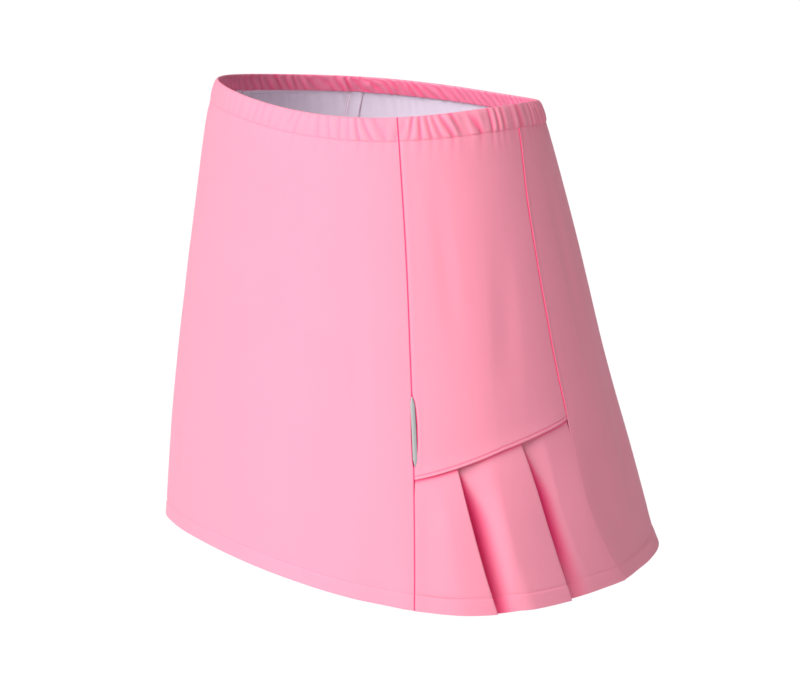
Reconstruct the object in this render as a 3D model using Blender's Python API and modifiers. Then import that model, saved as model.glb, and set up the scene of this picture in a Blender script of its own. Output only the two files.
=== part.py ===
"""Badminton skirt, filled out as worn, hollow and open at the waist and the hem.

The cloth is a thin wall through oval sections.  A point of the cloth is named by its angle round
the body and its level down the skirt: angle 0 is the wearer's left, -90 the centre front and 90
the centre back; level 0 is the waist rim and level 1 the hem.  Sizes are in millimetres and
degrees, and become metres where a mesh is made.  The origin is the centre of the waist, +Z is
up, and the front faces -Y.
"""

import math

import bmesh
import bpy

NAME = "badminton_skirt"
METRE = 0.001
EARLIER_SCENE = list(bpy.data.objects)

# Driving sizes
LENGTH = 331.0
WALL = 1.2
PLEAT_WALL = 1.0
STRIP_WALL = 1.0
SEAM_GAP = 0.56
LAYER_GAP = 0.4

# Waist casing, gathered over its elastic
CASING_HEIGHT = 15.5
CASING_PROUD = 0.5
GATHER_PITCH = 6.4
GATHER_DEPTH = 1.1
GATHER_UNEVEN = 0.6
GATHER_SEED = 100.0
RIM_STEPS = 24

# Level of the seam under the casing
PANEL_TOP = (CASING_HEIGHT + SEAM_GAP) / LENGTH

# Reflective strip in the front side seam
STRIP_TOP = 0.555
STRIP_END = 0.715
STRIP_WIDTH = 4.6
STRIP_TIP = 0.7
STRIP_FULLNESS = 0.6
STRIP_LEAN = 1.2

# Knife pleats of the side inserts
TUCK = 9.0
TUCK_START = 1.0
TUCK_RISE = 12.0
TURN_RADIUS = 0.9
TURN_STEPS = 4
STRIP_STEPS = 6
PLEAT_PROUD = 2.8
PLEAT_OPEN = 0.45
FIRST_RISE = 0.6
PIT_RISE = 0.3
PIT_LEVEL = 0.85

# Angle by which the wearer's right side is turned from the mirror image of the left side
RIGHT_TURN = 5.0

# Columns and rows of the panels
FRONT_GRID = (24, 18)
BACK_GRID = (28, 18)
SIDE_GRID = (10, 14)
STRIP_GRID = (2, 8)
INSERT_ROWS = 10

PINK = (0.93, 0.33, 0.47)
DEEP_PINK = (0.80, 0.22, 0.36)
PALE_GREY = (0.55, 0.62, 0.58)

# Oval sections: level, half width, depth in front, depth behind
SECTIONS = (
    (0.00, 136, 110, 112),
    (0.08, 146, 116, 120),
    (0.30, 164, 124, 141),
    (0.55, 180, 133, 163),
    (0.80, 194, 140, 188),
    (1.00, 203, 141, 207),
)

# Heights round the skirt: constant, then cosine and sine of the angle, of twice it and of three times it
RIM_WAVE = (1.0, 0.2, -5.2, 0.9, 3.5, 1.2, 1.5)
HEM_WAVE = (-0.6, 0.1, -5.6, -6.1, -0.5, 0.0, 2.3)

# Seams of the left side: level, angle of the front seam, angle of the back seam
SEAMS = (
    (0.00, -26.0, 22.5),
    (0.20, -26.0, 18.2),
    (0.45, -26.0, 18.6),
    (0.65, -26.0, 20.5),
    (0.80, -26.5, 21.5),
    (0.90, -27.0, 25.0),
    (1.00, -27.7, 31.0),
)

# Lower edge of the side panel: level at the front seam, level at the back seam, bow upwards
SIDE_EDGE = (0.73, 0.64, 0.006)

# Pleats: share of the way between the seams at the top and at the hem, bow of the fold between
# them, width of the hidden part, depth of the pit beside the fold where it opens and at the hem
PLEATS = (
    (0.25, 0.375, 0.012, 20.0, 3.2, 2.4),
    (0.665, 0.70, 0.045, 18.0, 2.8, 1.0),
)

# Folds: angle at the top, angle at the hem, half width, height out of the cloth, level where it starts,
# crispness from 0, a soft wave, to 1, a crease
FOLDS = (
    (-122.0, -124.0, 13.0, 1.6, 0.80, 0.5),
    (-36.0, -36.0, 7.0, -1.2, 0.80, 0.0),
    (60.0, 61.0, 15.0, 2.6, 0.50, 0.0),
    (90.0, 92.0, 15.0, -2.4, 0.45, 0.0),
    (119.0, 121.0, 15.0, 2.4, 0.50, 0.0),
)

# Crease along the back seam beside the insert: half width, height, level where it starts, crispness
SEAM_CREASE = (10.0, 3.4, 0.62, 0.35)

# Section of the casing: height over its lower edge, depth from the cloth's face, share of a gather's depth
CASING_SECTION = (
    (0.0, -0.2, 0.25),
    (0.35, -0.9, 1.0),
    (0.78, -0.7, 0.9),
    (1.0, 0.9, 0.5),
    (1.0, 2.3, -0.4),
    (0.55, 3.4, -0.9),
    (0.0, 3.0, -0.4),
)


def ease(share):
    """A smooth step from 0 to 1."""
    share = min(max(share, 0.0), 1.0)
    return share * share * (3.0 - 2.0 * share)


def read(rows, column, level):
    """One column of a table at a level, along a smooth curve through its rows."""
    levels = [row[0] for row in rows]
    values = [row[column] for row in rows]
    last = len(rows) - 1
    span = max(i for i in range(last) if levels[i] <= max(level, levels[0]))

    def slope(i):
        low, high = max(i - 1, 0), min(i + 1, last)
        return (values[high] - values[low]) / (levels[high] - levels[low])

    width = levels[span + 1] - levels[span]
    part = (level - levels[span]) / width
    rise = values[span + 1] - values[span]
    start = slope(span) * width
    end = slope(span + 1) * width
    bend = 3.0 * rise - 2.0 * start - end
    twist = start + end - 2.0 * rise
    return values[span] + start * part + bend * part**2 + twist * part**3


def wave(heights, angle):
    """The height of the rim or the hem at an angle."""
    turn = math.radians(angle)
    terms = [1.0]
    for times in (1, 2, 3):
        terms += [math.cos(times * turn), math.sin(times * turn)]
    return sum(height * term for height, term in zip(heights, terms))


def front_seam(level):
    """The angle of the left front seam."""
    return read(SEAMS, 1, level)


def back_seam(level):
    """The angle of the left back seam."""
    return read(SEAMS, 2, level)


def mirrored(angle):
    """The angle on the wearer's right side that answers one on the left."""
    return 180.0 - RIGHT_TURN - angle


def bump(angle, centre, half_width, crisp):
    """The share of a fold's height at an angle: a soft wave, a crease or something between."""
    away = abs((angle - centre + 180.0) % 360.0 - 180.0) / half_width
    if away > 1.0:
        return 0.0
    soft = 0.5 + 0.5 * math.cos(math.pi * away)
    return soft + ((1.0 - away) ** 2 - soft) * crisp


def fold_height(angle, level):
    """How far the folds carry the cloth out at a point."""
    height = 0.0
    for top_angle, hem_angle, half_width, depth, start, crisp in FOLDS:
        grown = (level - start) / (1.0 - start)
        centre = top_angle + (hem_angle - top_angle) * max(grown, 0.0)
        height += depth * ease(grown) * bump(angle, centre, half_width, crisp)
    half_width, depth, start, crisp = SEAM_CREASE
    for centre in (back_seam(level), mirrored(back_seam(level))):
        grown = (level - start) / (1.0 - start)
        height += depth * ease(2.0 * grown) * bump(angle, centre, half_width, crisp)
    return height


def oval(angle, level):
    """The section's half width and depth on the side of an angle."""
    turn = math.radians(angle)
    column = 2 if math.sin(turn) < 0.0 else 3
    return read(SECTIONS, 1, level), read(SECTIONS, column, level)


def cloth(angle, level, lift=0.0, slide=0.0):
    """The point of the outer face at an angle and a level, moved out and along the section."""
    half_width, depth = oval(angle, level)
    turn = math.radians(angle)
    if slide:
        speed = math.hypot(half_width * math.sin(turn), depth * math.cos(turn))
        angle += math.degrees(slide / speed)
        half_width, depth = oval(angle, level)
        turn = math.radians(angle)
    lift += fold_height(angle, level)
    out_x = math.cos(turn) / half_width
    out_y = math.sin(turn) / depth
    size = math.hypot(out_x, out_y)
    x = half_width * math.cos(turn) + lift * out_x / size
    y = depth * math.sin(turn) + lift * out_y / size
    z = wave(RIM_WAVE, angle) * (1.0 - level) + (wave(HEM_WAVE, angle) - LENGTH) * level
    return x, y, z


def across_side(share, level):
    """The angle at a share of the way from the front seam to the back seam."""
    return front_seam(level) + (back_seam(level) - front_seam(level)) * share


def side_edge(share):
    """The level of the side panel's lower edge."""
    front, back, bow = SIDE_EDGE
    return front + (back - front) * share - bow * math.sin(math.pi * share)


def seam_slide(share):
    """Half a seam's gap at the two edges of a panel, and none between them."""
    if share < 1e-6:
        return SEAM_GAP / 2.0
    if share > 1.0 - 1e-6:
        return -SEAM_GAP / 2.0
    return 0.0


def material(name, colour, roughness):
    """A plain cloth material for one piece."""
    made = bpy.data.materials.new(name)
    made.use_nodes = True
    shader = made.node_tree.nodes["Principled BSDF"]
    shader.inputs["Base Color"].default_value = (*colour, 1.0)
    shader.inputs["Roughness"].default_value = roughness
    shader.inputs["Metallic"].default_value = 0.0
    return made


def finish(name, shape, colour, roughness):
    """Turn a bmesh into an object of the skirt."""
    mesh = bpy.data.meshes.new(name)
    shape.to_mesh(mesh)
    shape.free()
    mesh.shade_smooth()
    mesh.materials.append(material(name + "_cloth", colour, roughness))
    piece = bpy.data.objects.new(name, mesh)
    skirt.objects.link(piece)
    return piece


def sheet(name, grid, place, wall, offset, right_side=False, colour=PINK, roughness=0.8):
    """A sheet of cloth: a grid laid on the skirt by place(share across, share down), with a wall."""
    columns, rows = grid
    shape = bmesh.new()
    bmesh.ops.create_grid(shape, x_segments=columns, y_segments=rows, size=0.5)
    for point in shape.verts:
        x, y, z = place(point.co.x + 0.5, 0.5 - point.co.y)
        point.co = (x * METRE, y * METRE, z * METRE)
    if right_side:
        bmesh.ops.reverse_faces(shape, faces=shape.faces)
    piece = finish(name, shape, colour, roughness)
    solid = piece.modifiers.new("wall", "SOLIDIFY")
    solid.thickness = wall * METRE
    solid.offset = offset
    solid.use_even_offset = True
    solid.use_quality_normals = True
    return piece


def make_panel(name, grid, first_seam, last_seam):
    """A full-length panel between two seams, each an angle for a level."""

    def place(across, down):
        level = PANEL_TOP + (1.0 - PANEL_TOP) * down
        start, end = first_seam(level), last_seam(level)
        return cloth(start + (end - start) * across, level, 0.0, seam_slide(across))

    return sheet(name, grid, place, WALL, -1.0)


def make_side_panel(name, right_side):
    """The upper side panel, down to its oblique lower edge."""

    def place(across, down):
        level = PANEL_TOP + (side_edge(across) - PANEL_TOP) * down
        angle = across_side(across, level)
        slide = seam_slide(across)
        if right_side:
            return cloth(mirrored(angle), level, 0.0, -slide)
        return cloth(angle, level, 0.0, slide)

    return sheet(name, SIDE_GRID, place, WALL, -1.0, right_side)


def pleat_path():
    """The folded path of an insert: a kind of stretch, its number, the place on it and the turns down."""
    path = []
    for number in range(len(PLEATS) + 1):
        first_step = 0 if number == 0 else 1
        last_step = STRIP_STEPS if number == len(PLEATS) else STRIP_STEPS - 1
        for step in range(first_step, last_step + 1):
            path.append(("strip", number, step / last_step, 0.0))
        if number == len(PLEATS):
            break
        turn = [math.pi * step / TURN_STEPS for step in range(TURN_STEPS + 1)]
        path += [("outer turn", number, angle, 0.0) for angle in turn]
        path.append(("under", number, 0.5, 2.0))
        path += [("inner turn", number, angle, 2.0) for angle in turn]
        path += [("under", number, 0.5, 4.0), ("under", number, 0.0, 4.0)]
    return path


def fold_share(number, level):
    """The share of the way between the seams where a fold lies; before and after the folds, the seams."""
    if number < 0:
        return 0.0
    if number == len(PLEATS):
        return 1.0
    top, hem, bow = PLEATS[number][:3]
    start = side_edge(top)
    down = min(max((level - start) / (1.0 - start), 0.0), 1.0)
    return top + (hem - top) * down + bow * math.sin(math.pi * down)


def pit_depth(number, opened, level):
    """How deep the cloth lies beside a fold, below the turns of the fold itself."""
    middle, hem = PLEATS[number][4:]
    return (middle + (hem - middle) * ease((level - PIT_LEVEL) / (1.0 - PIT_LEVEL))) * opened


def pleat_point(kind, number, value, layers, level, opened):
    """Share between the seams, run along the section and depth for a point of the folded path."""
    proud = -PLEAT_PROUD * opened
    if kind == "strip":
        before = fold_share(number - 1, level)
        share = before + (fold_share(number, level) - before) * value
        high = 0.0 if number == len(PLEATS) else proud
        if number == 0:
            return share, 0.0, high * ease(value / FIRST_RISE)
        low = proud + 4.0 * TURN_RADIUS + pit_depth(number - 1, opened, level)
        return share, 0.0, low + (high - low) * ease(value / PIT_RISE)
    share = fold_share(number, level)
    width = PLEATS[number][3]
    deep = proud + layers * TURN_RADIUS
    if kind == "outer turn":
        return share, TURN_RADIUS * math.sin(value), deep + TURN_RADIUS * (1.0 - math.cos(value))
    if kind == "inner turn":
        return share, -width - TURN_RADIUS * math.sin(value), deep + TURN_RADIUS * (1.0 - math.cos(value))
    pit = pit_depth(number, opened, level) * (1.0 - value) if layers > 2.0 else 0.0
    return share, -width * value, deep + pit


def make_insert(name, right_side):
    """The pleated lower side piece, tucked under the side panel at its top."""
    path = pleat_path()
    columns = len(path) - 1

    def place(across, down):
        kind, number, value, layers = path[round(across * columns)]
        share_at_top = pleat_point(kind, number, value, layers, 0.0, 0.0)[0]
        seam = side_edge(share_at_top)
        level = seam - TUCK / LENGTH
        level += (1.0 - level) * down
        opened = ease((level - seam) / (1.0 - seam) / PLEAT_OPEN)
        share, run, depth = pleat_point(kind, number, value, layers, level, opened)
        below_seam = (level - seam) * LENGTH
        under = (WALL + LAYER_GAP) * (1.0 - ease((below_seam - TUCK_START) / TUCK_RISE))
        depth += PLEAT_WALL / 2.0 + under
        angle = across_side(share, level)
        slide = run + seam_slide(across)
        if right_side:
            return cloth(mirrored(angle), level, -depth, -slide)
        return cloth(angle, level, -depth, slide)

    return sheet(name, (columns, INSERT_ROWS), place, PLEAT_WALL, 0.0, right_side)


def make_strip(name, right_side):
    """A lens-shaped reflective strip lying on the front side seam."""

    def place(across, down):
        level = STRIP_TOP + (STRIP_END - STRIP_TOP) * down
        width = STRIP_TIP + (STRIP_WIDTH - STRIP_TIP) * math.sin(math.pi * down) ** STRIP_FULLNESS
        slide = (across - 0.5) * width + STRIP_LEAN * down
        if right_side:
            return cloth(mirrored(front_seam(level)), level, LAYER_GAP, -slide)
        return cloth(front_seam(level), level, LAYER_GAP, slide)

    return sheet(name, STRIP_GRID, place, STRIP_WALL, 1.0, right_side, PALE_GREY, 0.4)


def uneven(number):
    """A steady irregular value between 0 and 1 for each gather."""
    return (math.sin(number * 12.9898 + 4.1) * 43758.5453) % 1.0


def make_casing(name, start, end):
    """One length of the gathered waist casing, between two seams at the rim."""
    middle = math.radians((start + end) / 2.0)
    run = 0.0
    for step in range(RIM_STEPS):
        here = cloth(start + (end - start) * step / RIM_STEPS, 0.0)
        there = cloth(start + (end - start) * (step + 1) / RIM_STEPS, 0.0)
        run += math.dist(here, there)
    columns = 2 * round(run / GATHER_PITCH)
    rings = len(CASING_SECTION)
    shape = bmesh.new()
    bmesh.ops.create_grid(shape, x_segments=columns, y_segments=rings, size=0.5)
    for point in shape.verts:
        across = point.co.x + 0.5
        column = round(across * columns)
        height, depth, share = CASING_SECTION[round((point.co.y + 0.5) * rings) % rings]
        strength = 1.0 - GATHER_UNEVEN * uneven(column // 2 + GATHER_SEED * middle)
        side = 1.0 if column % 2 else -1.0
        if column in (0, columns):
            strength = 0.0
        lift = GATHER_DEPTH * strength * side * share - depth + CASING_PROUD
        level = (1.0 - height) * CASING_HEIGHT / LENGTH
        x, y, z = cloth(start + (end - start) * across, level, lift, seam_slide(across))
        point.co = (x * METRE, y * METRE, z * METRE)
    bmesh.ops.remove_doubles(shape, verts=shape.verts, dist=1e-6)
    open_edges = [edge for edge in shape.edges if edge.is_boundary]
    bmesh.ops.holes_fill(shape, edges=open_edges, sides=rings)
    bmesh.ops.recalc_face_normals(shape, faces=shape.faces)
    return finish(name, shape, DEEP_PINK, 0.8)


for old in EARLIER_SCENE:
    bpy.data.objects.remove(old)
skirt = bpy.data.collections.new(NAME)
bpy.context.scene.collection.children.link(skirt)

make_panel("front_panel", FRONT_GRID, lambda level: mirrored(front_seam(level)) - 360.0, front_seam)
make_panel("back_panel", BACK_GRID, back_seam, lambda level: mirrored(back_seam(level)))
make_side_panel("side_panel_left", False)
make_side_panel("side_panel_right", True)
make_insert("pleat_insert_left", False)
make_insert("pleat_insert_right", True)
make_strip("reflective_strip_left", False)
make_strip("reflective_strip_right", True)
rim_front, rim_back = front_seam(0.0), back_seam(0.0)
make_casing("waist_casing_front", mirrored(rim_front) - 360.0, rim_front)
make_casing("waist_casing_left", rim_front, rim_back)
make_casing("waist_casing_back", rim_back, mirrored(rim_back))
make_casing("waist_casing_right", mirrored(rim_back), mirrored(rim_front))
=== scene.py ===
# %% [markdown]
# # A pleated badminton skirt
# A short sports skirt of pink knit, filled out as if worn, open at the waist and the hem. The front
# and back are plain. Each side has an upper panel, and below its oblique edge a pleated insert. The
# top is turned in over elastic, which gathers it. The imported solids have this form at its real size,
# so they are loaded first and everything below is made in their frame.

# %% Load the frame
from functools import lru_cache
from math import cos, degrees, hypot, pi, radians, sin, sqrt

import bmesh
import bpy
from mathutils import Matrix, Vector, noise


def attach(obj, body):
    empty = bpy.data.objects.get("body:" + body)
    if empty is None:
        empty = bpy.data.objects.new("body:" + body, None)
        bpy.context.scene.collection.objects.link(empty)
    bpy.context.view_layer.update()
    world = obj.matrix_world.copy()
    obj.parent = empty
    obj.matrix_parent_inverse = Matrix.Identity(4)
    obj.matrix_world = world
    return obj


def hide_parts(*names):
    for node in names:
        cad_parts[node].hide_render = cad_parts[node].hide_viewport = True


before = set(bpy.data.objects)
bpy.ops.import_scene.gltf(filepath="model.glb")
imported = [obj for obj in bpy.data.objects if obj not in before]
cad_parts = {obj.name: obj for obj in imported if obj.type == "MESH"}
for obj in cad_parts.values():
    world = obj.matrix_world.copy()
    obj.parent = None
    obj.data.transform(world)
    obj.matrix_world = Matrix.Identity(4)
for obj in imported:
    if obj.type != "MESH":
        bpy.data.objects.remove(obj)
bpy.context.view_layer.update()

print("solids:", ", ".join(sorted(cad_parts)))

# %% [markdown]
# ## The cut and the form
# A maker works from a few measures: the length, the width at some heights, and the lines of the
# seams. The same is done here. A place on the skirt has an angle round the body and a level down it.
# Angle 0 is the wearer's left, -90 the centre front and 90 the centre back. Level 0 is the rim and
# level 1 the hem. Everything is worked out in millimetres, because cloth is thin.

# %% Driving sizes
METRE = 0.001
LENGTH = 331
RIGHT_TURN = 5
WALL = 0.7

# Oval sections: level, half width, depth in front, depth behind
SECTIONS = (
    (0, 136, 110, 112),
    (0.08, 146, 116, 120),
    (0.3, 164, 124, 141),
    (0.55, 180, 133, 163),
    (0.8, 194, 140, 188),
    (1, 203, 141, 207),
)
# Heights round the skirt: constant, then cosine and sine of the angle, of twice it and of three times it
RIM_WAVE = (1, 0.2, -5.2, 0.9, 3.5, 1.2, 1.5)
HEM_WAVE = (-0.6, 0.1, -5.6, -6.1, -0.5, 0, 2.3)
# Seams of the left side: level, angle of the front seam, angle of the back seam
SEAMS = (
    (0, -26, 22.5),
    (0.2, -26, 18.2),
    (0.45, -26, 18.6),
    (0.65, -26, 20.5),
    (0.8, -26.5, 21.5),
    (0.9, -27, 25),
    (1, -27.7, 31),
)
# Lower edge of the side panel: level at the front seam, level at the back seam, bow upwards
SIDE_EDGE = (0.73, 0.64, 0.006)


# %% Helpers for smooth tables
def ease(share):
    """A smooth step from 0 to 1."""
    share = min(max(share, 0), 1)
    return share * share * (3 - 2 * share)


def mix(start, end, share):
    """The value at a share of the way from start to end."""
    return start + (end - start) * share


def shares(count, gap=0):
    """Evenly spaced shares of a way, from the gap to as far before its end."""
    return [mix(gap, 1 - gap, step / count) for step in range(count + 1)]


def hill(away):
    """A soft hill: 1 at 0, and 0 from 1 on."""
    return 0.5 + 0.5 * cos(pi * min(abs(away), 1))


def read(rows, column, level):
    """One column of a table at a level, along a smooth curve through its rows."""
    levels = [row[0] for row in rows]
    values = [row[column] for row in rows]
    last = len(rows) - 1
    span = max(i for i in range(last) if levels[i] <= max(level, levels[0]))

    def slope(i):
        low, high = max(i - 1, 0), min(i + 1, last)
        return (values[high] - values[low]) / (levels[high] - levels[low])

    width = levels[span + 1] - levels[span]
    part = (level - levels[span]) / width
    rise = values[span + 1] - values[span]
    start = slope(span) * width
    end = slope(span + 1) * width
    bend = 3 * rise - 2 * start - end
    twist = start + end - 2 * rise
    return values[span] + start * part + bend * part**2 + twist * part**3


def wave(heights, angle):
    """The height of the rim or the hem at an angle."""
    turn = radians(angle)
    terms = [1, *(curve(times * turn) for times in (1, 2, 3) for curve in (cos, sin))]
    return sum(height * term for height, term in zip(heights, terms))


@lru_cache(maxsize=None)
def measures(level):
    """Half width, depth in front, depth behind, and the angles of the left seams at a level."""
    oval = [read(SECTIONS, column, level) for column in (1, 2, 3)]
    return (*oval, read(SEAMS, 1, level), read(SEAMS, 2, level))


def front_seam(level):
    """The angle of the left front seam."""
    return measures(level)[3]


def back_seam(level):
    """The angle of the left back seam."""
    return measures(level)[4]


def mirrored(angle):
    """The angle on the wearer's right that answers one on the left."""
    return 180 - RIGHT_TURN - angle


def apart(angle, other):
    """The angle between two directions round the body, from -180 to 180."""
    return (angle - other + 180) % 360 - 180


# %% [markdown]
# ## Folds and creases
# Cloth that is held at the waist and stands out at the hem falls in a few soft waves. The large
# ones are in the solids too. Finer ones are added: shallow troughs, each with its own
# sizes and slant, and a crease along the back seam, where the pleats meet the panel behind them.

# %% Tables of folds
# Angle at the top, angle at the hem, half width, height out of the cloth, level where it starts, crispness
FOLDS = (
    (-122, -124, 13, 1.6, 0.8, 0.5),
    (-36, -36, 7, -1.2, 0.8, 0),
    (60, 61, 15, 2.6, 0.5, 0),
    (90, 92, 15, -2.4, 0.45, 0),
    (119, 121, 15, 2.4, 0.5, 0),
)
# The crease along the back seam beside the insert: half width, height, level where it starts, crispness
SEAM_CREASE = (10, 3, 0.62, 0.45)
CREASE_GROWTH = 2
# Fine troughs: angle, level of the middle, half length as a level, half width in degrees, depth, slant
TROUGHS = (
    (-150, 0.2, 0.18, 6, 0.9, 10),
    (-139, 0.55, 0.3, 8, 1.1, -8),
    (-110, 0.8, 0.22, 7, 1.3, 6),
    (-96, 0.4, 0.3, 9, 0.9, -10),
    (-66, 0.62, 0.38, 6.5, 1.3, 5),
    (-57, 0.22, 0.2, 5, 0.7, -6),
    (-41, 0.5, 0.3, 5, 0.7, 4),
    (-14, 0.3, 0.25, 5, 0.7, 6),
    (4, 0.42, 0.22, 6, 0.9, -8),
    (34, 0.35, 0.3, 5, 1.1, 8),
    (47, 0.72, 0.28, 6, 1.4, -6),
    (74, 0.38, 0.3, 7, 1.1, 6),
    (88, 0.7, 0.3, 5.5, 1.1, -9),
    (104, 0.3, 0.24, 6, 0.9, 8),
    (133, 0.6, 0.34, 6.5, 1.3, 6),
    (146, 0.28, 0.22, 5, 0.9, -6),
    (172, 0.34, 0.25, 6, 0.9, 7),
    (186, 0.46, 0.24, 5, 0.7, -7),
)
# Where the hem turns out a little: angle of the middle, half width, height, how far up it reaches
HEM_FLIPS = (
    (52, 24, 3, 22),
    (118, 26, 2.4, 24),
    (-70, 30, 0.8, 16),
)
# Slight unevenness everywhere: its height and its size
UNEVEN_HEIGHT = 0.22
UNEVEN_SIZE = 38


def bump(angle, centre, half_width, crisp):
    """The share of a fold's height at an angle: a soft wave, a crease or something between."""
    away = abs(apart(angle, centre)) / half_width
    if away > 1:
        return 0
    return mix(hill(away), (1 - away) ** 2, crisp)


def fold_height(angle, level):
    """How far the folds and troughs carry the cloth out at a place."""
    height = 0
    for top_angle, hem_angle, half_width, depth, start, crisp in FOLDS:
        grown = (level - start) / (1 - start)
        if grown > 0:
            centre = mix(top_angle, hem_angle, grown)
            height += depth * ease(grown) * bump(angle, centre, half_width, crisp)
    half_width, depth, start, crisp = SEAM_CREASE
    grown = (level - start) / (1 - start)
    if grown > 0:
        for centre in (back_seam(level), mirrored(back_seam(level))):
            height += depth * ease(CREASE_GROWTH * grown) * bump(angle, centre, half_width, crisp)
    for centre, middle, half_length, half_width, depth, slant in TROUGHS:
        along = (level - middle) / half_length
        if abs(along) < 1:
            away = apart(angle, centre + slant * (level - middle)) / half_width
            if abs(away) < 1:
                height -= depth * hill(along) * hill(away)
    for centre, half_width, depth, reach in HEM_FLIPS:
        rise = (1 - level) * LENGTH / reach
        if rise < 1:
            height += depth * (1 - rise) ** 2 * hill(apart(angle, centre) / half_width)
    return height


def cloth(angle, level, lift=0, slide=0):
    """The place on the cloth's outer face, moved out by lift and along the section by slide."""
    half_width, front, behind = measures(level)[:3]
    turn = radians(angle)
    depth = front if sin(turn) < 0 else behind
    if slide:
        speed = hypot(half_width * sin(turn), depth * cos(turn))
        angle += degrees(slide / speed)
        turn = radians(angle)
        depth = front if sin(turn) < 0 else behind
    out = Vector((cos(turn) / half_width, sin(turn) / depth, 0)).normalized()
    place = Vector((half_width * cos(turn), depth * sin(turn), 0))
    place.z = wave(RIM_WAVE, angle) * (1 - level) + (wave(HEM_WAVE, angle) - LENGTH) * level
    lift += fold_height(angle, level) + UNEVEN_HEIGHT * noise.noise(place / UNEVEN_SIZE)
    return place + out * lift


low = min(cloth(angle, 1).z for angle in range(-180, 180, 5))

# %% [markdown]
# ## Finishes
# The knit is polyester: a bright pink face with a fine vertical rib, matt with a faint sheen, and a
# pale lavender reverse. The pattern runs along each piece's own UV map, which is in metres of cloth,
# so the ribs follow the grain as they do on cut cloth. Noise makes the dye and the surface slightly
# uneven. A shade attribute mixes in a deep saturated pink, painted shade in folds, pits, seams and
# between gathers, and the casing's inside has a darker copy of the pink, also painted shade. The
# thread is a little deeper than the cloth, and the tape is silver grey.


# %% Helpers for materials
def shader_of(name, **values):
    """A new material, its node tree and its principled shader with these values."""
    made = bpy.data.materials.new(name)
    made.use_nodes = True
    shader = made.node_tree.nodes["Principled BSDF"]
    for socket, value in values.items():
        shader.inputs[socket.replace("_", " ")].default_value = value
    return made, made.node_tree, shader


def add(tree, kind, settings=(), **values):
    """A node of a kind with its settings and the values of its free sockets."""
    node = tree.nodes.new("ShaderNode" + kind)
    for setting, value in dict(settings).items():
        setattr(node, setting, value)
    for socket, value in values.items():
        node.inputs[socket.replace("_", " ")].default_value = value
    return node


def between(tree, start, end, share):
    """A colour between start, which may be a socket, and end, by the share that a socket gives."""
    mixed = add(tree, "Mix", {"data_type": "RGBA"})
    if isinstance(start, bpy.types.NodeSocket):
        tree.links.new(start, mixed.inputs["A"])
    else:
        mixed.inputs["A"].default_value = (*start, 1)
    mixed.inputs["B"].default_value = (*end, 1)
    tree.links.new(share, mixed.inputs["Factor"])
    return mixed.outputs["Result"]


def ranged(tree, value, low, high, to_low, to_high):
    """A socket's value, moved from one range to another."""
    mapped = add(tree, "MapRange", From_Min=low, From_Max=high, To_Min=to_low, To_Max=to_high)
    tree.links.new(value, mapped.inputs["Value"])
    return mapped.outputs["Result"]


def summed(tree, first, weight, second):
    """first times a weight, plus second."""
    total = add(tree, "Math", {"operation": "MULTIPLY_ADD"})
    total.inputs[1].default_value = weight
    tree.links.new(first, total.inputs[0])
    tree.links.new(second, total.inputs[2])
    return total.outputs["Value"]


# %% Knit, thread and tape
RIB_SCALE = 480
COURSE_SCALE = 620
GRAIN_SCALE = 1400
CLOUD_SCALE = 16
TWIST_SCALE = 900
BEAD_SCALE = 2600
COURSE_WEIGHT = 0.6
GRAIN_WEIGHT = 0.8
CLOUD_WEIGHT = 1.2
RELIEF_STRENGTH = 0.45
RELIEF_DEPTH = 0.0001
# Ranges: of the dye's sum, of the cloud noise, of the knit's roughness and of the tape's
DYE_RANGE = (0.7, 2.9)
CLOUD_RANGE = (0.3, 0.7)
KNIT_ROUGHNESS = (0.62, 0.78)
TAPE_ROUGHNESS = (0.3, 0.5)
# The dark parts of the thread and of the tape, as shares of their colours
DARK_TWIST = 0.75
DARK_BEAD = 0.8


def knit(name, colour, deeper, painted_fold_shade, sheen):
    """A fine ribbed knit in two tones of a colour, mixed towards a painted shade colour where its shade
    attribute is 1.
    """
    made, tree, shader = shader_of(
        name,
        Sheen_Weight=sheen,
        Sheen_Roughness=0.5,
        Sheen_Tint=(1, 0.92, 0.96, 1),
        Specular_IOR_Level=0.2,
    )
    link = tree.links.new
    where = add(tree, "TexCoord")
    ribs = add(tree, "TexWave", {"bands_direction": "X"}, Scale=RIB_SCALE, Distortion=0.6)
    courses = add(tree, "TexWave", {"bands_direction": "Y"}, Scale=COURSE_SCALE, Distortion=0.8)
    grain = add(tree, "TexNoise", Scale=GRAIN_SCALE, Detail=3)
    cloud = add(tree, "TexNoise", Scale=CLOUD_SCALE, Detail=3)
    for texture in (ribs, courses, grain):
        link(where.outputs["UV"], texture.inputs["Vector"])
    link(where.outputs["Object"], cloud.inputs["Vector"])
    loops = summed(tree, courses.outputs["Fac"], COURSE_WEIGHT, ribs.outputs["Fac"])
    relief = summed(tree, grain.outputs["Fac"], GRAIN_WEIGHT, loops)
    dye = summed(tree, cloud.outputs["Fac"], CLOUD_WEIGHT, relief)
    # The shade attribute paints shade: where it is 1 the cloth takes the painted fold shade colour
    shade = add(tree, "Attribute", {"attribute_name": "shade"})
    open_cloth = between(tree, deeper, colour, ranged(tree, dye, *DYE_RANGE, 0, 1))
    link(between(tree, open_cloth, painted_fold_shade, shade.outputs["Fac"]), shader.inputs["Base Color"])
    rough = ranged(tree, cloud.outputs["Fac"], *CLOUD_RANGE, *KNIT_ROUGHNESS)
    link(rough, shader.inputs["Roughness"])
    weave = add(tree, "Bump", Strength=RELIEF_STRENGTH, Distance=RELIEF_DEPTH)
    link(relief, weave.inputs["Height"])
    link(weave.outputs["Normal"], shader.inputs["Normal"])
    return made


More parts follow.
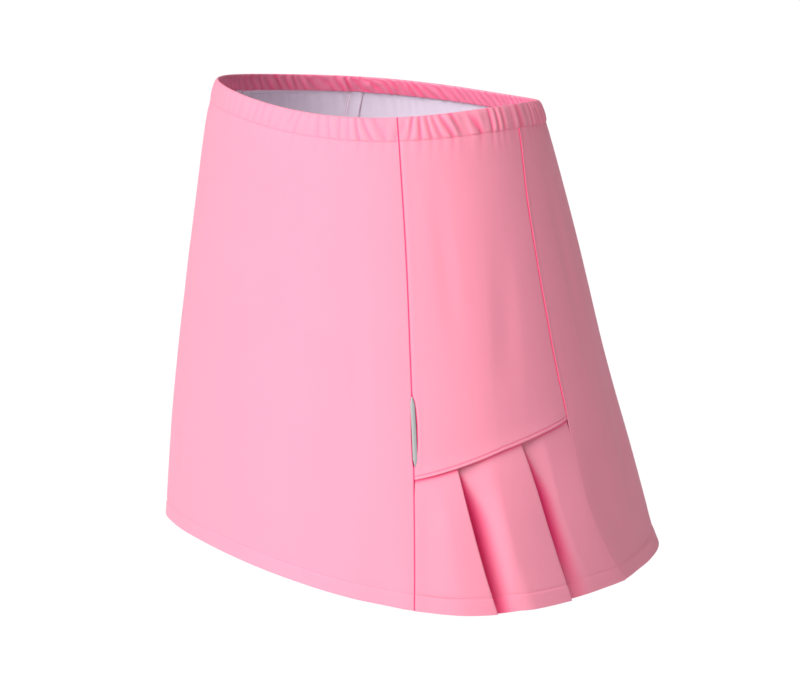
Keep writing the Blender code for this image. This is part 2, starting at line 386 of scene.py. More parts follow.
def thread(name, colour):
    """Twisted sewing thread: fine slanting bands on a satin shader."""
    made, tree, shader = shader_of(name, Roughness=0.5)
    where = add(tree, "TexCoord")
    twist = add(tree, "TexWave", {"bands_direction": "DIAGONAL"}, Scale=TWIST_SCALE)
    tree.links.new(where.outputs["Object"], twist.inputs["Vector"])
    dark = [DARK_TWIST * part for part in colour]
    tree.links.new(between(tree, dark, colour, twist.outputs["Fac"]), shader.inputs["Base Color"])
    return made


def bead_tape(name, colour):
    """Reflective tape: a silver ground with a very fine bead grain and a soft gloss."""
    made, tree, shader = shader_of(name, Metallic=0.3)
    where = add(tree, "TexCoord")
    beads = add(tree, "TexVoronoi", Scale=BEAD_SCALE)
    tree.links.new(where.outputs["Object"], beads.inputs["Vector"])
    dark = [DARK_BEAD * part for part in colour]
    tree.links.new(between(tree, colour, dark, beads.outputs["Distance"]), shader.inputs["Base Color"])
    rough = ranged(tree, beads.outputs["Distance"], 0, 1, *TAPE_ROUGHNESS)
    tree.links.new(rough, shader.inputs["Roughness"])
    return made


# Painted shade: the colour where light is thrown from pink cloth to pink cloth, as in a fold or a seam; the
# grey is the same on the pale reverse
FOLD_SHADE_PINK = (1, 0.042, 0.195)
FOLD_SHADE_GREY = (0.52, 0.42, 0.53)
pink_face = knit("pink_face", (0.85, 0.29, 0.388), (0.82, 0.254, 0.353), FOLD_SHADE_PINK, 0.08)
# A darker copy of the pink face for the inside of the casing, as painted shade
pink_inside_shaded = knit("pink_inside_shaded", (0.8, 0.205, 0.325), (0.76, 0.175, 0.29), FOLD_SHADE_PINK, 0.05)
# seam_shade is the allowances' deep pink face: painted shade that shows in the seam grooves
seam_shade = knit("seam_shade", (0.86, 0.1, 0.25), (0.8, 0.08, 0.22), FOLD_SHADE_PINK, 0)
pale_reverse = knit("pale_reverse", (0.71, 0.62, 0.72), (0.67, 0.58, 0.68), FOLD_SHADE_GREY, 0.05)
pink_thread = thread("pink_thread", (0.85, 0.22, 0.34))
pale_thread = thread("pale_thread", (0.78, 0.55, 0.66))
tape = bead_tape("reflective_tape", (0.39, 0.405, 0.4))
print("finishes:", [made.name for made in bpy.data.materials])

# %% [markdown]
# ## Laying a sheet
# Every piece of cloth starts as a flat grid, whose columns run across it and whose rows run down it.
# A rule lays each point on the skirt, and Solidify gives the sheet its thickness, with the pink face
# outside and the pale reverse inside. The grid also gives the grain: a UV map of the distance across
# and down in metres.


# %% The sheet maker
def grain_of(places):
    """Where each point lies on the flat cloth: along its row, and down the middle column."""
    middle = len(places[0]) // 2
    down, flat = 0, []
    for number, row in enumerate(places):
        if number:
            down += (row[middle] - places[number - 1][middle]).length
        run = [0]
        for before, after in zip(row, row[1:]):
            run.append(run[-1] + (after - before).length)
        flat.append([(here - run[middle], -down) for here in run])
    return flat


def piece_of(name, shape, finishes):
    """An object in the scene, from a finished bmesh and its finishes."""
    mesh = bpy.data.meshes.new(name)
    shape.to_mesh(mesh)
    shape.free()
    for finish in finishes:
        mesh.materials.append(finish)
    piece = bpy.data.objects.new(name, mesh)
    bpy.context.scene.collection.objects.link(piece)
    return piece


def dress(piece, replaced=()):
    """Declare what a piece rides on, and the solids that it takes the place of."""
    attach(piece, "root")
    if replaced:
        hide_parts(*replaced)


def lay(name, columns, rows, rule, replaced=(), flip=False, wall=WALL, offset=-1,
        cloths=None, inner_rows=0):
    """A sheet laid on the skirt by a rule, with a wall behind it.

    rule(column, row) gives a place in millimetres and its painted shade: 1 in a fold or a seam, 0 in the
    open.
    The first inner_rows rows, which are turned to the inside, take the third finish."""
    laid = [[rule(column, row) for column in columns] for row in rows]
    places = [[place * METRE for place, _ in row] for row in laid]
    flat = grain_of(places)
    sheet = bmesh.new()
    bmesh.ops.create_grid(sheet, x_segments=len(columns) - 1, y_segments=len(rows) - 1, size=0.5)
    grain = sheet.loops.layers.uv.new("grain")
    shade = sheet.verts.layers.float.new("shade")
    where = {}
    for point in sheet.verts:
        column = round((point.co.x + 0.5) * (len(columns) - 1))
        row = round((0.5 - point.co.y) * (len(rows) - 1))
        point.co = places[row][column]
        point[shade] = laid[row][column][1]
        where[point] = flat[row][column]
    inner_length = -flat[inner_rows][0][1]
    for face in sheet.faces:
        face.smooth = True
        for loop in face.loops:
            loop[grain].uv = where[loop.vert]
        if inner_rows and -face.loops[0][grain].uv.y < inner_length:
            face.material_index = 2
    if flip:
        bmesh.ops.reverse_faces(sheet, faces=sheet.faces)
    area = sum(face.calc_area() for face in sheet.faces)
    piece = piece_of(name, sheet, cloths or (pink_face, pale_reverse))
    solid = piece.modifiers.new("wall", "SOLIDIFY")
    solid.thickness = wall * METRE
    solid.offset = offset
    solid.use_quality_normals = True
    solid.material_offset = 1
    dress(piece, replaced)


# %% [markdown]
# ## The waist gathers
# The elastic is shorter than the cloth, so the cloth stands in small uneven gathers, about 8 mm
# apart, strongest at the sides and calm in front. The same gathers show in the casing and fade out
# as puckers below its stitch line, so one function of the place along the rim serves both.

# %% Gathers along the rim
CASING_HEIGHT = 15.5
PANEL_TOP = CASING_HEIGHT / LENGTH
GATHER_PITCH = 8.4
RIM_STEP = 0.5
PUCKER_DEPTH = 0.45
PUCKER_REACH = 22
PUCKER_LEAN = 0.3
# Strength of the painted shade between the puckers
PUCKER_SHADE = 0.18
RIM_RADIUS = 124
CREST_SHARPNESS = 0.8
# How strongly the gathers stand round the skirt: angle, strength
GATHER_STRENGTH = (
    (-180, 0.8), (-150, 0.6), (-95, 0.3), (-45, 0.5), (-20, 1.15),
    (25, 1.2), (60, 0.9), (120, 0.9), (150, 1.1), (180, 0.8),
)
# How a gather's pitch and size wander: scale of the noise round the ring, amount
PITCH_WANDER = ((4, 1), (19, 0.22))
SIZE_WANDER = (11, 0.9)
MEAN_SIZE = 0.7
# Where the noise of the sizes is cut, and how far the cut moves with the shear
SIZE_CUT = 3
SIZE_SHEAR = 0.5

rim_runs = [0]
for step in range(round(360 / RIM_STEP)):
    ends = [cloth(RIM_STEP * (step + more) - 180, 0) for more in (0, 1)]
    rim_runs.append(rim_runs[-1] + (ends[1].xy - ends[0].xy).length)
gather_count = round(rim_runs[-1] / GATHER_PITCH)


def slid(angle, slide):
    """The angle after a slide along the waist."""
    return angle + degrees(slide / RIM_RADIUS)


def ruffle(angle, shear):
    """The size of the gathers at an angle, and how near it is to a crest; shear moves them along."""
    angle = (angle + 180) % 360 - 180
    step, share = divmod((angle + 180) / RIM_STEP, 1)
    run = mix(rim_runs[int(step)], rim_runs[int(step) + 1], share)
    count = run / rim_runs[-1] * gather_count + shear
    turn = radians(angle)
    ring = Vector((cos(turn), sin(turn), 0))
    for scale, amount in PITCH_WANDER:
        count += amount * noise.noise(ring * scale)
    scale, amount = SIZE_WANDER
    cut = Vector((0, 0, SIZE_CUT + SIZE_SHEAR * shear))
    size = MEAN_SIZE + amount * noise.noise(ring * scale + cut)
    crest = (0.5 - 0.5 * cos(2 * pi * count)) ** CREST_SHARPNESS
    return read(GATHER_STRENGTH, 1, angle) * size, crest


def gather(angle, shear=0):
    """A gather's height: 0 between two gathers, about 1 on top."""
    size, crest = ruffle(angle, shear)
    return size * crest


def painted_fold_shade(angle, shear=0):
    """How much painted shade a place gets: 0 on top of a gather, up to about 1 between two strong ones."""
    size, crest = ruffle(angle, shear)
    return min(1, max(0, size * (1 - crest) ** 2))


def pucker_fade(level):
    """The share of the puckers at a level: 1 at the stitch line, 0 some way below and just above."""
    below = (level - PANEL_TOP) * LENGTH
    if below < 0:
        return ease(1 + below)
    return max(0, 1 - below / PUCKER_REACH) ** 2


def puckers(angle, level):
    """How deep the puckers lie below the waist's stitch line."""
    fade = pucker_fade(level)
    if fade == 0:
        return 0
    return -PUCKER_DEPTH * fade * (1 - gather(angle, PUCKER_LEAN * (1 - fade)))


def pucker_shade(angle, level):
    """The painted shade between the puckers."""
    fade = pucker_fade(level)
    return PUCKER_SHADE * fade * painted_fold_shade(angle, PUCKER_LEAN * (1 - fade)) if fade else 0


print(f"{gather_count} gathers on a rim of {rim_runs[-1]:.0f} mm")

# %% [markdown]
# ## The panels
# Front and back are wide and plain. Beside a seam the cloth rolls inwards, so two neighbours leave
# a fine groove. The hem is turned up and stitched. A turned edge is one more stretch of the same
# sheet: down the outside, round the edge and up the inside, so a row is a level on the outside or a
# distance past the start of the turn.

# %% Rows and columns of a panel
TAPE_TOP = 0.56
TAPE_END = 0.702
TAPE_OPEN_FRONT = 1.3
TAPE_OPEN_SIDE = 3
SEAM_STEPS = (0, 0.12, 0.35, 0.8, 1.5, 2.6, 4.2, 6.5)
# Distances below the waist's stitch line, where the puckers need fine rows; some lie behind the casing
TOP_STEPS = (-11, -6, -2.5, -1.4, -0.7, -0.3, 0, 0.15, 0.4, 0.8, 1.4, 2.2, 3.2)
TOP_STEPS += (4.6, 6.2, 8, 10, 12.2, 14.6, 17.2, 20, 23, 26.5)
ROW_PITCH = 3.4
SEAM_ROLL = 0.5
# Painted shade along a seam: strength, and reach in millimetres
SEAM_SHADE = 0.95
SEAM_SHADE_REACH = 0.95
WAIST_ROLL = 0.12
# Painted shade along the waist's stitch line: strength, and reach in millimetres
WAIST_SHADE = 0.12
WAIST_SHADE_REACH = 0.9
HIDDEN_DEPTH = 1.1
HIDDEN_REACH = 5
HEM_HEIGHT = 11.5
HEM_ROLL = 0.78
HEM_ROWS = 12
TURNED_SHARES = (0.1, 0.3, 0.55, 0.8, 1)
# The doubled hem's step: height, place, width. Its stitch groove: depth, half width
HEM_STEP = (0.3, 0.5, 2.5)
HEM_GROOVE = (0.32, 1.7)
# How sharply a panel's edge draws back from the ends of the tape
TAPE_SPRING = 0.4
# A ridge beside a seam: distance of its crest, half width. Levels over which the insert ends it
RIDGE = (1.1, 1.5)
RIDGE_END = (0.03, 0.04)
FLATTER = 0.7


def across_panel(count):
    """Columns of a panel: a share of the way between the seams, and a slide, fine near them."""
    last = SEAM_STEPS[-1]
    start = [(0, step) for step in SEAM_STEPS]
    middle = [(i / count, last * (1 - 2 * i / count)) for i in range(1, count)]
    return start + middle + [(1, -slide) for _, slide in reversed(start)]


def from_seam(share, slide):
    """The distance from the nearer seam, as far as the fine steps go."""
    return abs(slide) if share in (0, 1) else SEAM_STEPS[-1]


def round_edge(radius, height, steps=6):
    """Distances past the start of a turned edge: round it, then up to the turned part's height."""
    half_turn = pi * radius
    ways = [half_turn * (i + 1) / steps for i in range(steps)]
    return ways + [half_turn + height * share for share in TURNED_SHARES]


def down_panel():
    """Rows of a panel: (level, 0) on the outside, then (level of the turn, way past its start)."""
    first = [PANEL_TOP + step / LENGTH for step in TOP_STEPS]
    last = 1 - HEM_ROLL / LENGTH
    stitched = last - HEM_HEIGHT / LENGTH
    count = round((stitched - first[-1]) * LENGTH / ROW_PITCH)
    plain = [mix(first[-1], stitched, share) for share in shares(count)[1:-1]]
    doubled = [mix(stitched, last, share) for share in shares(HEM_ROWS)]
    outside = [(level, 0) for level in first + plain + doubled]
    return outside + [(last, way) for way in round_edge(HEM_ROLL, HEM_HEIGHT)]


def rolled(distance, radius):
    """How deep a rolled edge lies at a distance from the very edge."""
    if distance >= radius:
        return 0
    return radius - sqrt(radius**2 - (radius - max(distance, 0)) ** 2)


def waist_dip(level):
    """How deep a panel lies at the stitch line, and above it where it runs on behind the casing."""
    below = (level - PANEL_TOP) * LENGTH
    return rolled(below, WAIST_ROLL) + HIDDEN_DEPTH * ease(-below / HIDDEN_REACH)


def panel_shade(beside, level, angle, above_pleats=1):
    """The painted shade of a panel beside its seams, at its stitch line and between its puckers."""
    seam = SEAM_SHADE * ease(1 - beside / SEAM_SHADE_REACH) * above_pleats
    stitched = WAIST_SHADE * ease(1 - abs(level - PANEL_TOP) * LENGTH / WAIST_SHADE_REACH)
    return max(seam, stitched, pucker_shade(angle, level))


def opened_seam(level, beside):
    """How far a panel's edge draws back from the reflective tape."""
    share = (level - TAPE_TOP) / (TAPE_END - TAPE_TOP)
    if not 0 < share < 1:
        return 0
    return sin(pi * share) ** TAPE_SPRING * (1 - beside / SEAM_STEPS[-1])


def turned(level, way, radius):
    """The level and depth of a place past the start of a turned edge."""
    if way <= pi * radius:
        return level + radius * sin(way / radius) / LENGTH, radius * (1 - cos(way / radius))
    return level - (way - pi * radius) / LENGTH, 2 * radius


def hem_relief(level):
    """The groove of the hem's stitch line and the faint step of the doubled part below it."""
    above = (1 - level) * LENGTH - HEM_HEIGHT
    step, start, width = HEM_STEP
    groove, half_width = HEM_GROOVE
    return step * ease((start - above) / width) - groove * hill(above / half_width)


def panel_rule(first_seam, last_seam, ridge=0):
    """The rule of a full-length panel between two seams."""

    def rule(column, row):
        share, slide = column
        level, way = row
        depth = 0
        if way:
            level, depth = turned(level, way, HEM_ROLL)
        angle = mix(first_seam(level), last_seam(level), share)
        beside = from_seam(share, slide)
        above_pleats = 1 - ease((level - SIDE_EDGE[1] + RIDGE_END[0]) / RIDGE_END[1]) if ridge else 1
        shade = panel_shade(beside, level, slid(angle, slide), above_pleats)
        lift = hem_relief(level) - rolled(beside, SEAM_ROLL)
        if ridge:
            lift += ridge * above_pleats * hill((beside - RIDGE[0]) / RIDGE[1])
            lift += FLATTER * (1 - above_pleats) * rolled(beside, SEAM_ROLL)
        elif share in (0, 1):
            slide += (1 - 2 * share) * TAPE_OPEN_FRONT * opened_seam(level, beside)
        if not way:
            lift += puckers(slid(angle, slide), level) - waist_dip(level)
        return cloth(angle, level, lift - depth, slide), shade

    return rule


# %% Front and back
# Number of columns and rule of each panel
PANELS = {
    "front": (200, panel_rule(lambda level: mirrored(front_seam(level)) - 360, front_seam)),
    "back": (210, panel_rule(back_seam, lambda level: mirrored(back_seam(level)), ridge=0.5)),
}
for part, (count, rule) in PANELS.items():
    lay(f"{part}_cloth", across_panel(count), down_panel(), rule, [f"{part}_panel"])

# %% [markdown]
# ## The upper side panels
# Each hides the top of the pleats. Its lower edge runs obliquely, is turned in and stitched, and
# stands a little proud of the pleats. The same rule makes both sides: on the right the angles are
# mirrored, and the sheet's faces are turned back.

# %% Side panels
SIDE_ROLL = 0.75
SIDE_TURN_IN = 8
SIDE_PROUD = 0.9
SIDE_FADE = 14
SIDE_STITCH = 2.4
STITCH_GROOVE = 0.35
# Strength of the painted shade along the edge's stitch line
STITCH_SHADE = 0.35
STITCH_REACH = 0.9
SIDE_COLUMNS = 70
SIDE_ROWS = 72
SIDE_LEVEL = 0.7
PROUD_REACH = 12
# The swelling beside the tape: height, distance of its crest, half width
TAPE_SWELL = (0.25, 3, 3)
# Distances above the lower edge that have rows
EDGE_STEPS = (6.3, 5, 4.4, 3.8, 3.2, 2.8, 2.4, 2, 1.6, 1, 0.5)


@lru_cache(maxsize=None)
def side_width(level):
    """The distance between the two seams of a side at a level."""
    return (cloth(front_seam(level), level) - cloth(back_seam(level), level)).length


def side_edge(share):
    """The level of the side panel's lower edge."""
    front, back, bow = SIDE_EDGE
    return mix(front, back, share) - bow * sin(pi * min(max(share, 0), 1))


def on_side(right_side, share, level, lift, slide):
    """A place between the seams of the left side, or the one that answers it on the right."""
    angle = mix(front_seam(level), back_seam(level), share)
    if right_side:
        return cloth(mirrored(angle), level, lift, -slide)
    return cloth(angle, level, lift, slide)


def down_side_panel():
    """Rows of a side panel: a share of the way down to the turn, then the way past its start."""
    reach = (SIDE_EDGE[0] - PANEL_TOP) * LENGTH
    first = [step / reach for step in TOP_STEPS]
    plain = [mix(first[-1], 1, share) for share in shares(SIDE_ROWS)[1:]]
    near = [1 - step / reach for step in EDGE_STEPS]
    outside = sorted(first + plain + near)
    return [(share, 0) for share in outside] + [(1, way) for way in round_edge(SIDE_ROLL, SIDE_TURN_IN)]


def side_panel_rule(right_side):
    """The rule of an upper side panel."""

    def rule(column, row):
        share, slide = column
        down, way = row
        width = side_width(SIDE_LEVEL)
        edge = side_edge(share + slide / width)
        level = mix(PANEL_TOP, edge - SIDE_ROLL / LENGTH, down)
        above_edge = (edge - level) * LENGTH
        depth = 0
        if way:
            level, depth = turned(level, way, SIDE_ROLL)
        angle = slid(mix(front_seam(level), back_seam(level), share), slide)
        angle = mirrored(angle) if right_side else angle
        beside = from_seam(share, slide)
        stitch = hill((above_edge - SIDE_STITCH) / STITCH_REACH)
        # Painted shade beside the seams, at the stitch lines and between the puckers
        shade = max(panel_shade(beside, level, angle), STITCH_SHADE * stitch)
        along = share * width + slide
        inner = ease(min(along, width - along) / SIDE_FADE)
        lift = SIDE_PROUD * inner * ease(1 - above_edge / PROUD_REACH) - rolled(beside, SEAM_ROLL) - depth
        lift -= STITCH_GROOVE * stitch
        if share == 0:
            swell, crest, half_width = TAPE_SWELL
            lift += swell * hill((beside - crest) / half_width)
            slide += TAPE_OPEN_SIDE * opened_seam(level, beside)
        if not way:
            lift += puckers(angle, level) - waist_dip(level)
        return on_side(right_side, share, level, lift, slide), shade

    return rule


SIDES = ("left", "right")
for side in SIDES:
    lay(f"side_cloth_{side}", across_panel(SIDE_COLUMNS), down_side_panel(), side_panel_rule(side == "right"),
        [f"side_panel_{side}"], flip=side == "right")

# %% [markdown]
# ## The pleated inserts
# An insert is one wide piece, folded like a Z twice, so that it can open when the wearer runs. Its
# path goes over a strip that shows, round the fold, back under it, round again and forward to the
# next strip. A pleat that stands open has a deep pit beside its fold, which also gets painted shade.

# %% The folded path
# Share of the way between the seams at the top and at the hem, bow of the fold between them, width of
# the hidden part, depth of the pit beside the fold where it opens and at the hem, its painted shade there
PLEATS = (
    (0.25, 0.375, 0.012, 20, 9, 8, 1, 0.9),
    (0.665, 0.7, 0.045, 18, 6.5, 2.5, 1, 0.3),
)
PLEAT_WALL = 0.6
PLEAT_ROLL = 0.85
PLEAT_PROUD = 2.8
PLEAT_OPEN = 0.42
TUCK = 9
TUCK_RISE = 14
FIRST_RISE = 0.6
PIT_RISE = 0.55
PIT_LEVEL = 0.85
# How far the hem hangs lower for each millimetre that the cloth lies inside the form
HEM_HANG = 0.3
# Painted shade beside each fold: full to the first share of the next strip's width, none from the second on
PIT_SHADE = ((0.07, 0.38), (0.17, 0.46))
# Width of the painted shade of a closed pleat beside an open one, and how soon the painted shade starts
CLOSED_SHADE = 0.2
PIT_ONSET = 9
# Painted shade on the layers of a fold that lie under the strips
HIDDEN_SHADE = 0.3
# Painted shadow on the insert under the side panel's edge: strength, and reach in millimetres
EDGE_SHADE = 0.85
EDGE_SHADE_REACH = 3.2
# Reach of the painted shade along the insert's front seam
INSERT_SEAM_REACH = 0.8
UNDER_GAP = 0.35
STRIP_STEPS = 36
TURN_STEPS = 8
UNDER_STEPS = 8


def pleat_path():
    """The folded path of an insert: kind of stretch, its number, place on it, turns down, slide."""
    path = [("strip", 0, 0, 0, step) for step in SEAM_STEPS]
    last = SEAM_STEPS[-1]
    for number in range(len(PLEATS) + 1):
        for step in range(1 if number == 0 else 0, STRIP_STEPS):
            share = step / STRIP_STEPS
            slide = last * (1 - share) if number == 0 else 0
            slide = -last * share if number == len(PLEATS) else slide
            path.append(("strip", number, share, 0, slide))
        if number == len(PLEATS):
            break
        turn = [pi * step / TURN_STEPS for step in range(TURN_STEPS + 1)]
        path += [("outer turn", number, angle, 0, 0) for angle in turn]
        path += [("under", number, share, 2, 0) for share in shares(UNDER_STEPS)[1:-1]]
        path += [("inner turn", number, angle, 2, 0) for angle in turn]
        path += [("under", number, 1 - share, 4, 0) for share in shares(UNDER_STEPS)[1:]]
    return path + [("strip", len(PLEATS), 1, 0, -step) for step in reversed(SEAM_STEPS)]


def fold_share(number, level):
    """The share of the way between the seams where a fold lies, or a seam beyond the folds."""
    if number < 0:
        return 0
    if number == len(PLEATS):
        return 1
    top, hem, bow = PLEATS[number][:3]
    start = side_edge(top)
    down = min(max((level - start) / (1 - start), 0), 1)
    return mix(top, hem, down) + bow * sin(pi * down)


def near_hem(level):
    """0 down to where the pits begin to close, 1 at the hem."""
    return ease((level - PIT_LEVEL) / (1 - PIT_LEVEL))


def pit_depth(number, opened, level):
    """How deep the cloth lies beside a fold, below the turns of the fold itself."""
    return mix(*PLEATS[number][4:6], near_hem(level)) * opened


def pit_shade(kind, number, value, level, opened):
    """How much painted shade a place of the folded path gets."""
    if kind != "strip":
        return 0 if kind == "outer turn" else HIDDEN_SHADE
    if number == 0:
        return 0
    full, none = (mix(CLOSED_SHADE, 1, opened) * reach for reach in PIT_SHADE[number - 1])
    strength = mix(*PLEATS[number - 1][6:], near_hem(level))
    return strength * ease((none - value) / (none - full)) * ease(PIT_ONSET * opened)


def pleat_point(kind, number, value, layers, level, opened):
    """Share between the seams, run along the section and depth for a point of the folded path."""
    proud = -PLEAT_PROUD * opened
    if kind == "strip":
        share = mix(fold_share(number - 1, level), fold_share(number, level), value)
        high = 0 if number == len(PLEATS) else proud
        if number == 0:
            return share, 0, high * ease(value / FIRST_RISE)
        low = proud + 4 * PLEAT_ROLL + pit_depth(number - 1, opened, level)
        return share, 0, mix(low, high, ease(value / PIT_RISE))
    share = fold_share(number, level)
    width = PLEATS[number][3]
    deep = proud + layers * PLEAT_ROLL
    round_fold = deep + PLEAT_ROLL * (1 - cos(value))
    if kind == "outer turn":
        return share, PLEAT_ROLL * sin(value), round_fold
    if kind == "inner turn":
        return share, -width - PLEAT_ROLL * sin(value), round_fold
    pit = pit_depth(number, opened, level) * (1 - value) if layers > 2 else 0
    return share, -width * value, deep + pit


# %% Laying the inserts
INSERT_ROWS = 64
FINE_ROWS = 32


def column_top(column):
    """The level of the side panel's edge over a column of an insert, and of the column's own top."""
    kind, number, value, layers, slide = column
    share, run, _ = pleat_point(kind, number, value, layers, 0, 0)
    edge = side_edge(share + (run + slide) / side_width(SIDE_LEVEL))
    return edge, edge - TUCK / LENGTH


def insert_rule(right_side):
    """The rule of a pleated insert, which is tucked under the side panel."""

    def rule(column, row):
        kind, number, value, layers, slide = column
        edge, top = column_top(column)
        level = mix(top, 1, row)
        below = (level - edge) * LENGTH
        opened = ease((level - edge) / (1 - edge) / PLEAT_OPEN)
        beside = from_seam(value, slide) if kind == "strip" and number == 0 else SEAM_STEPS[-1]
        # Painted shade: in the pits, under the side panel's edge and along the front seam
        painted_edge_shadow = EDGE_SHADE * ease(1 - below / EDGE_SHADE_REACH)
        seam = SEAM_SHADE * ease(1 - beside / INSERT_SEAM_REACH)
        shade = max(pit_shade(kind, number, value, level, opened), painted_edge_shadow, seam)
        share, run, depth = pleat_point(kind, number, value, layers, level, opened)
        hang = HEM_HANG * max(depth, 0) / LENGTH * near_hem(level)
        depth += (WALL + UNDER_GAP) * (1 - ease((below - 1) / TUCK_RISE))
        if kind == "strip" and share in (0, 1):
            depth += rolled(from_seam(share, slide), SEAM_ROLL) * (1 - FLATTER * share)
        return on_side(right_side, share, level + hang, hem_relief(level) - depth, run + slide), shade

    return rule


# The lowest eighth has rows four times as fine
insert_rows = shares(INSERT_ROWS)[: -INSERT_ROWS // 8 - 1]
insert_rows += [1 - step / (4 * INSERT_ROWS) for step in reversed(range(FINE_ROWS))]
for side in SIDES:
    lay(f"pleats_{side}", pleat_path(), insert_rows, insert_rule(side == "right"), [f"pleat_insert_{side}"],
        flip=side == "right", wall=PLEAT_WALL)

# %% [markdown]
# ## The waist casing
# The top is turned in over the elastic and stitched down, so a soft gathered roll goes round the
# waist. Its section is a short table: from the stitch line up the outside, over the rim and down to
# the free edge inside. The gathers are added square to it. On the inside they stand higher and lean,
# because the free edge is caught down a little askew.

# %% Casing
# Section: place along it, height as a share of the casing's, depth from the panels' face, share of a gather
CASING_SECTION = (
    (0, 0, 0.12, 0.35),
    (0.03, 0.015, 0, 0.5),
    (0.1, 0.12, -0.5, 0.9),
    (0.27, 0.45, -0.9, 1),
    (0.4, 0.8, -0.6, 0.9),
    (0.47, 0.96, 0.25, 0.6),
    (0.51, 1, 1.4, 0.1),
    (0.55, 0.96, 2.5, -0.5),
    (0.62, 0.8, 3.3, -1.1),
    (0.78, 0.52, 3.6, -1.4),
    (1, 0.2, 3.2, -0.9),
)
GATHER_DEPTH = 1.3
# Strength of the painted shade between the gathers
GATHER_SHADE = 0.5
GATHER_MEAN = 0.5
CASING_STEPS = 44
CASING_PITCH = 0.8
INNER_LEAN = 1.6
OUTER_LEAN = 1.5
INNER_ROWS = 20
TOOTH = 0.022
TOOTH_START = 0.96
TEETH_PER_GATHER = 3
# Where the section turns to the inside, as a place along it and a width
INSIDE_TURN = (0.5, 0.15)
LEAN_SCALE = 5


def side_of_lean(angle):
    """Which way, and how much, the gathers lean at an angle."""
    turn = radians(angle)
    return noise.noise(Vector((cos(turn), sin(turn), 0.5)) * LEAN_SCALE)


def casing_rule(start, end):
    """The rule of a casing between the angles of two seams at the rim."""

    def rule(column, row):
        share, slide = column
        height, depth, part = (read(CASING_SECTION, value, row) for value in (1, 2, 3))
        angle = mix(start, end, share)
        here = slid(angle, slide)
        beside = from_seam(share, slide)
        inside = ease((row - INSIDE_TURN[0]) / INSIDE_TURN[1])
        lean = INNER_LEAN * inside * (1 - height) + OUTER_LEAN * (1 - inside) * height * side_of_lean(here)
        # Painted shade along the seams, at the stitch line and between the gathers
        seam = SEAM_SHADE * ease(1 - beside / SEAM_SHADE_REACH) * (1 - inside)
        stitched = WAIST_SHADE * ease(1 - height * CASING_HEIGHT / WAIST_SHADE_REACH)
        shade = max(GATHER_SHADE * painted_fold_shade(here, lean), seam, stitched)
        lift = GATHER_DEPTH * (gather(here, lean) - GATHER_MEAN) * part
        lift -= rolled(beside, SEAM_ROLL) * (1 - inside)
        if row > TOOTH_START:
            height += TOOTH * sin(2 * pi * TEETH_PER_GATHER * gather_count * angle / 360)
        return cloth(angle, (1 - height) * CASING_HEIGHT / LENGTH, lift - depth, slide), shade

    return rule


casing_rows = [1 - share for share in shares(CASING_STEPS)]
front_start, back_start = front_seam(0), back_seam(0)
casing_ends = {
    "front": (mirrored(front_start) - 360, front_start),
    "left": (front_start, back_start),
    "back": (back_start, mirrored(back_start)),
    "right": (mirrored(back_start), mirrored(front_start)),
}
for part, (start, end) in casing_ends.items():
    count = round((end - start) / 360 * rim_runs[-1] / CASING_PITCH)
    lay(f"casing_{part}", across_panel(count), casing_rows, casing_rule(start, end), [f"waist_casing_{part}"],
        inner_rows=INNER_ROWS,
        cloths=(pink_face, pale_reverse, pink_inside_shaded, pale_reverse))

# %% [markdown]
# ## Reflective tapes
# A narrow tape with pointed ends is caught in each front seam, where the side panel's edge stands
# open. It is made like a sheet.

# %% Tapes
TAPE_WIDTH = 3.2
TAPE_TIP = 0.5
TAPE_POINT = 9
TAPE_LEAN = 1
TAPE_WALL = 0.35
TAPE_LIFT = -0.25
TAPE_CROWN = 0.15
TAPE_SHIFT = 0.55
TAPE_COLUMNS = 8
TAPE_ROWS = 54


def tape_rule(right_side):
    """The rule that lays a tape along the front seam."""

    def rule(column, row):
        level = mix(TAPE_TOP, TAPE_END, row)
        width = mix(TAPE_TIP, TAPE_WIDTH, min(1, TAPE_POINT * row, TAPE_POINT * (1 - row)))
        slide = (column - 0.5) * width + TAPE_LEAN * (row - 0.5) + TAPE_SHIFT
        lift = TAPE_LIFT + TAPE_CROWN * hill(2 * (column - 0.5))
        return on_side(right_side, 0, level, lift, slide), 0

    return rule


for side in SIDES:
    lay(f"tape_{side}", shares(TAPE_COLUMNS), shares(TAPE_ROWS), tape_rule(side == "right"),
        [f"reflective_strip_{side}"], flip=side == "right", wall=TAPE_WALL, offset=1,
        cloths=(tape, tape))

# %% [markdown]
# ## Seam allowances
# Inside, the cloth beyond each seam is pressed open and overlocked. One strip stands for the two
# allowances. It lies against the reverse of both panels and closes the seam from behind. Its outer
# face is a deep pink, painted shade that shows through the seam's groove.

# %% Allowances
HEM_LEVEL = 1 - HEM_HEIGHT / LENGTH
ALLOWANCE = 5.3
ALLOWANCE_TOP = PANEL_TOP - 10 / LENGTH
ALLOWANCE_END = 1 - 3 / LENGTH
ALLOWANCE_DEPTH = WALL + 0.08
ALLOWANCE_WALL = 0.25
ALLOWANCE_ROWS = 100
# The way behind the tucked top of the insert: depth, reach past the tuck, slopes at both ends
TUCK_DIP = 1.5
TUCK_REACH = 6
TUCK_SLOPES = (5, 6)
# The way behind the turned-up hem, and the curl of the allowance's edges
HEM_DIP = 2 * HEM_ROLL - 0.2
HEM_SLOPE = 1.5
EDGE_CURL = 0.3


